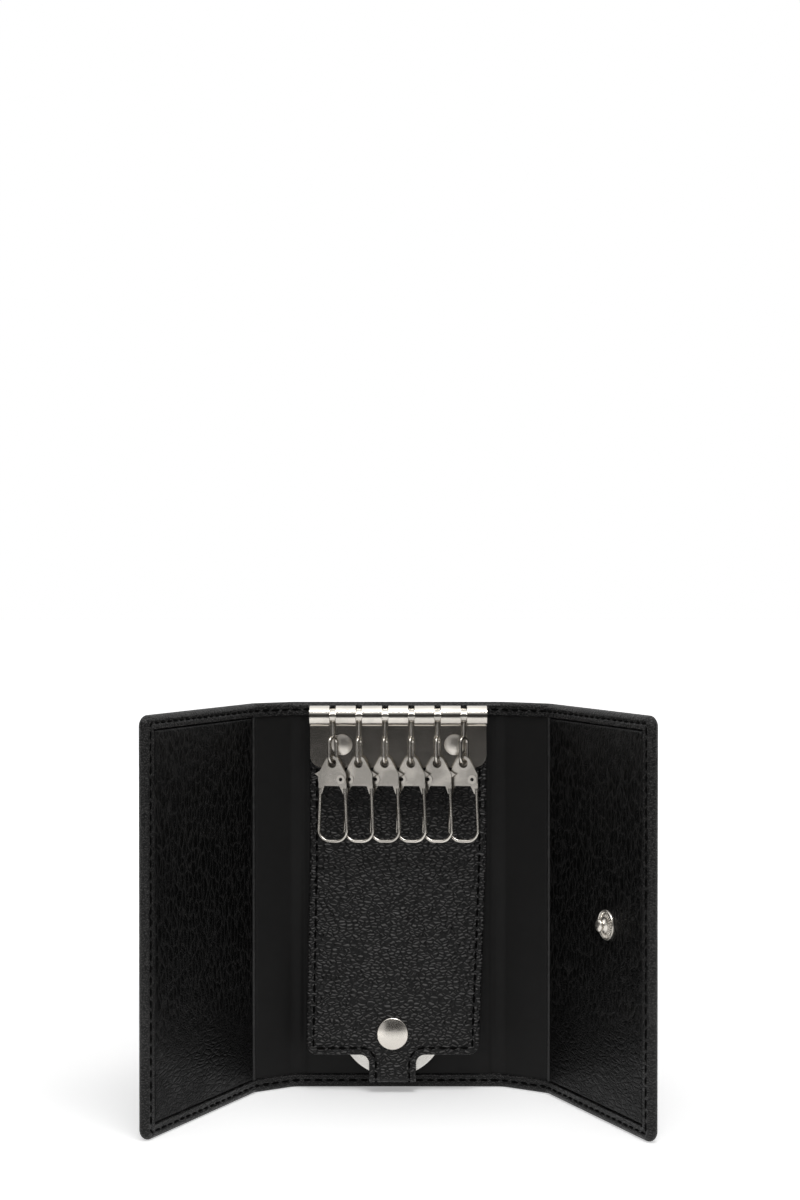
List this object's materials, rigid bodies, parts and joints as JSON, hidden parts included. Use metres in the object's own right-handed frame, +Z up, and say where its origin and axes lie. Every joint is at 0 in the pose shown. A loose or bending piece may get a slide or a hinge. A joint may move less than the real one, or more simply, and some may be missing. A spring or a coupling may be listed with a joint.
{
  "type": "key_case",
  "caption": "Tri-fold black leather key case standing open: two hinged flaps, a nickel rail of swinging key hooks, a snap tongue holding a split ring, and a press-stud closure",
  "frame": {"origin": "middle of the spine's lower edge, on the floor the case stands on", "axes": "+X along the spine to the viewer's right, +Y out of the back, -Y towards the viewer and into the open case, +Z up"},
  "size_m": [0.1347, 0.0621, 0.11],
  "materials": {
    "case_leather": "black, glossy, with a fine creased grain",
    "tongue_leather": "black, softer sheen, pebbled grain",
    "lining_satin": "black plain satin",
    "stiffener_board": "raw, hidden",
    "rail_nickel": "polished nickel",
    "snap_nickel": "satin nickel",
    "ring_steel": "bright nickel plate",
    "hook_nickel": "polished nickel"
  },
  "bodies": {
    "spine": {"spine_cover": "case_leather", "spine_board": "stiffener_board", "spine_lining": "lining_satin", "tongue_top": "tongue_leather", "rail_plate": "rail_nickel", "rail_rod": "rail_nickel", "rail_rivets": "rail_nickel"},
    "left_gusset": {"left_gusset_cover": "case_leather", "left_gusset_lining": "lining_satin"},
    "left_flap": {"left_flap_cover": "case_leather", "left_flap_board": "stiffener_board", "left_flap_lining": "lining_satin", "left_flap_pocket": "case_leather", "closure_socket": "snap_nickel", "closure_eyelet": "snap_nickel"},
    "right_gusset": {"right_gusset_cover": "case_leather", "right_gusset_lining": "lining_satin"},
    "right_flap": {"right_flap_cover": "case_leather", "right_flap_board": "stiffener_board", "right_flap_lining": "lining_satin", "right_flap_pocket": "case_leather", "closure_stud": "snap_nickel", "closure_cap": "snap_nickel"},
    "tongue": {"tongue_front": "tongue_leather", "tongue_back": "tongue_leather", "tongue_snap_cap": "snap_nickel", "tongue_snap_socket": "snap_nickel"},
    "strap": {"strap_tail": "tongue_leather", "strap_stud": "snap_nickel", "strap_stud_cap": "snap_nickel"},
    "ring": {"key_ring": "ring_steel"},
    "hanger_1": {"hook_hanger_1": "hook_nickel"},
    "hook_1": {"hook_plate_1": "hook_nickel", "hook_rivet_1": "hook_nickel"},
    "loop_1": {"hook_loop_1": "hook_nickel"},
    "hanger_2": {"hook_hanger_2": "hook_nickel"},
    "hook_2": {"hook_plate_2": "hook_nickel", "hook_rivet_2": "hook_nickel"},
    "loop_2": {"hook_loop_2": "hook_nickel"},
    "hanger_3": {"hook_hanger_3": "hook_nickel"},
    "hook_3": {"hook_plate_3": "hook_nickel", "hook_rivet_3": "hook_nickel"},
    "loop_3": {"hook_loop_3": "hook_nickel"},
    "hanger_4": {"hook_hanger_4": "hook_nickel"},
    "hook_4": {"hook_plate_4": "hook_nickel", "hook_rivet_4": "hook_nickel"},
    "loop_4": {"hook_loop_4": "hook_nickel"},
    "hanger_5": {"hook_hanger_5": "hook_nickel"},
    "hook_5": {"hook_plate_5": "hook_nickel", "hook_rivet_5": "hook_nickel"},
    "loop_5": {"hook_loop_5": "hook_nickel"},
    "hanger_6": {"hook_hanger_6": "hook_nickel"},
    "hook_6": {"hook_plate_6": "hook_nickel", "hook_rivet_6": "hook_nickel"},
    "loop_6": {"hook_loop_6": "hook_nickel"}
  },
  "joints": [
    {"name": "left_gusset_fold", "type": "hinge", "parent": "spine", "child": "left_gusset", "pos_m": [-0.03, 0, 0.055], "axis": [0, 0, -1], "range_deg": [-59, 32]},
    {"name": "left_flap_fold", "type": "hinge", "parent": "left_gusset", "child": "left_flap", "pos_m": [-0.04102, -0.00689, 0.055], "axis": [0, 0, -1], "range_deg": [-59, 32]},
    {"name": "right_gusset_fold", "type": "hinge", "parent": "spine", "child": "right_gusset", "pos_m": [0.03, 0, 0.055], "axis": [0, 0, 1], "range_deg": [-55, 32]},
    {"name": "right_flap_fold", "type": "hinge", "parent": "right_gusset", "child": "right_flap", "pos_m": [0.04272, -0.00795, 0.055], "axis": [0, 0, 1], "range_deg": [-55, 32]},
    {"name": "tongue_lift", "type": "hinge", "parent": "spine", "child": "tongue", "pos_m": [0, -0.00195, 0.066], "axis": [-1, 0, 0], "range_deg": [0, 80]},
    {"name": "strap_open", "type": "hinge", "parent": "tongue", "child": "strap", "pos_m": [-0.0016, -0.00403, 0.00599], "axis": [-1, 0, 0], "range_deg": [0, 80]},
    {"name": "ring_turn", "type": "hinge", "parent": "tongue", "child": "ring", "pos_m": [-0.0016, -0.00571, 0.01964], "axis": [0, 0.9945, -0.1045], "continuous": true},
    {"name": "hook_swing_1", "type": "hinge", "parent": "spine", "child": "hanger_1", "pos_m": [-0.0185, -0.00555, 0.10635], "axis": [-1, 0, 0], "range_deg": [0, 100]},
    {"name": "hook_fold_1", "type": "hinge", "parent": "hanger_1", "child": "hook_1", "pos_m": [-0.0185, -0.00605, 0.09481], "axis": [-0.788, 0.6151, -0.0269], "range_deg": [0, 20]},
    {"name": "loop_open_1", "type": "hinge", "parent": "hook_1", "child": "loop_1", "pos_m": [-0.016, -0.00705, 0.0885], "axis": [-0.2756, -0.9603, 0.0419], "range_deg": [0, 30]},
    {"name": "hook_swing_2", "type": "hinge", "parent": "spine", "child": "hanger_2", "pos_m": [-0.0111, -0.00555, 0.10635], "axis": [-1, 0, 0], "range_deg": [0, 100]},
    {"name": "hook_fold_2", "type": "hinge", "parent": "hanger_2", "child": "hook_2", "pos_m": [-0.0111, -0.00605, 0.09481], "axis": [-0.9613, 0.2754, -0.012], "range_deg": [0, 20]},
    {"name": "loop_open_2", "type": "hinge", "parent": "hook_2", "child": "loop_2", "pos_m": [-0.0136, -0.00561, 0.08844], "axis": [0.2756, 0.9603, -0.0419], "range_deg": [0, 30]},
    {"name": "hook_swing_3", "type": "hinge", "parent": "spine", "child": "hanger_3", "pos_m": [-0.0037, -0.00555, 0.10635], "axis": [-1, 0, 0], "range_deg": [0, 100]},
    {"name": "hook_fold_3", "type": "hinge", "parent": "hanger_3", "child": "hook_3", "pos_m": [-0.0037, -0.00605, 0.09481], "axis": [-0.9613, 0.2754, -0.012], "range_deg": [0, 20]},
    {"name": "loop_open_3", "type": "hinge", "parent": "hook_3", "child": "loop_3", "pos_m": [-0.0062, -0.00561, 0.08844], "axis": [0.2756, 0.9603, -0.0419], "range_deg": [0, 30]},
    {"name": "hook_swing_4", "type": "hinge", "parent": "spine", "child": "hanger_4", "pos_m": [0.0037, -0.00555, 0.10635], "axis": [-1, 0, 0], "range_deg": [0, 100]},
    {"name": "hook_fold_4", "type": "hinge", "parent": "hanger_4", "child": "hook_4", "pos_m": [0.0037, -0.00605, 0.09481], "axis": [-0.9613, 0.2754, -0.012], "range_deg": [0, 20]},
    {"name": "loop_open_4", "type": "hinge", "parent": "hook_4", "child": "loop_4", "pos_m": [0.0012, -0.00561, 0.08844], "axis": [0.2756, 0.9603, -0.0419], "range_deg": [0, 30]},
    {"name": "hook_swing_5", "type": "hinge", "parent": "spine", "child": "hanger_5", "pos_m": [0.0111, -0.00555, 0.10635], "axis": [-1, 0, 0], "range_deg": [0, 100]},
    {"name": "hook_fold_5", "type": "hinge", "parent": "hanger_5", "child": "hook_5", "pos_m": [0.0111, -0.00605, 0.09481], "axis": [-0.9613, 0.2754, -0.012], "range_deg": [0, 20]},
    {"name": "loop_open_5", "type": "hinge", "parent": "hook_5", "child": "loop_5", "pos_m": [0.0086, -0.00561, 0.08844], "axis": [0.2756, 0.9603, -0.0419], "range_deg": [0, 30]},
    {"name": "hook_swing_6", "type": "hinge", "parent": "spine", "child": "hanger_6", "pos_m": [0.0185, -0.00555, 0.10635], "axis": [-1, 0, 0], "range_deg": [0, 100]},
    {"name": "hook_fold_6", "type": "hinge", "parent": "hanger_6", "child": "hook_6", "pos_m": [0.0185, -0.00605, 0.09481], "axis": [-0.788, 0.6151, -0.0269], "range_deg": [0, 20]},
    {"name": "loop_open_6", "type": "hinge", "parent": "hook_6", "child": "loop_6", "pos_m": [0.021, -0.00705, 0.0885], "axis": [-0.2756, -0.9603, 0.0419], "range_deg": [0, 30]}
  ],
  "couplings": [
    {"joint": "left_flap_fold", "follows": "left_gusset_fold", "ratio": 1},
    {"joint": "right_flap_fold", "follows": "right_gusset_fold", "ratio": 1},
    {"joint": "strap_open", "follows": "tongue_lift", "ratio": 1},
    {"joint": "hook_swing_2", "follows": "hook_swing_1", "ratio": 1},
    {"joint": "hook_fold_2", "follows": "hook_fold_1", "ratio": 1},
    {"joint": "hook_swing_3", "follows": "hook_swing_1", "ratio": 1},
    {"joint": "hook_fold_3", "follows": "hook_fold_1", "ratio": 1},
    {"joint": "hook_swing_4", "follows": "hook_swing_1", "ratio": 1},
    {"joint": "hook_fold_4", "follows": "hook_fold_1", "ratio": 1},
    {"joint": "hook_swing_5", "follows": "hook_swing_1", "ratio": 1},
    {"joint": "hook_fold_5", "follows": "hook_fold_1", "ratio": 1},
    {"joint": "hook_swing_6", "follows": "hook_swing_1", "ratio": 1},
    {"joint": "hook_fold_6", "follows": "hook_fold_1", "ratio": 1}
  ]
}
